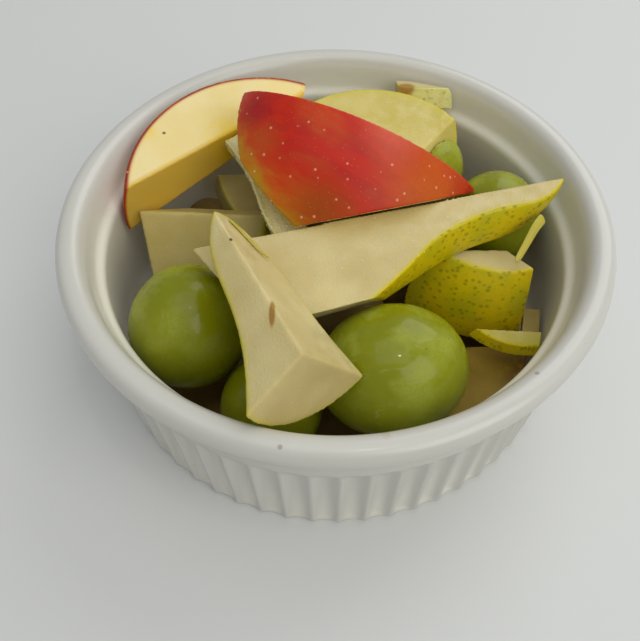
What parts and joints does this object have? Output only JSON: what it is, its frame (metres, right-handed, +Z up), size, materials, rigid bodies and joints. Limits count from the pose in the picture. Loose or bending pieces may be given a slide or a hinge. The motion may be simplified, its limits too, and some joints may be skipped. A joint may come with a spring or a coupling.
{
  "type": "fruit salad in a ramekin",
  "caption": "Fresh fruit salad of cut pear, cut red apple and whole green grapes heaped in a round white fluted ceramic ramekin.",
  "frame": {"origin": "centre of the bowl's foot on the table", "axes": "+Z up along the bowl's axis; +Y away from the viewer, so the front of the heap faces -Y; +X to the viewer's right"},
  "size_m": [0.116, 0.116, 0.0566],
  "materials": {
    "glaze": "glossy white ceramic glaze",
    "pear": "moist cut pear flesh",
    "pear_skin": "satin pear skin with small dots",
    "apple_skin": "satin red apple skin",
    "apple_flesh": "moist cut apple flesh",
    "grape_skin": "satin grape skin with pale bloom"
  },
  "bodies": {
    "root": {"bowl": "glaze", "fruit_bed": "pear", "pear_long": "pear", "pear_front": "pear", "apple_left": "apple_flesh", "apple_red": "apple_skin", "pear_top": "pear", "pear_calyx": "pear_skin", "pear_block": "pear_skin", "pear_sliver": "pear", "apple_chunk": "apple_flesh", "pear_midleft": "pear", "pear_behind": "pear", "pear_strip": "pear", "pear_bit": "pear", "grape_left": "grape_skin", "grape_front": "grape_skin", "grape_right": "grape_skin", "grape_deep": "grape_skin", "grape_back": "grape_skin", "pear_strand": "pear_skin"}
  },
  "joints": []
}
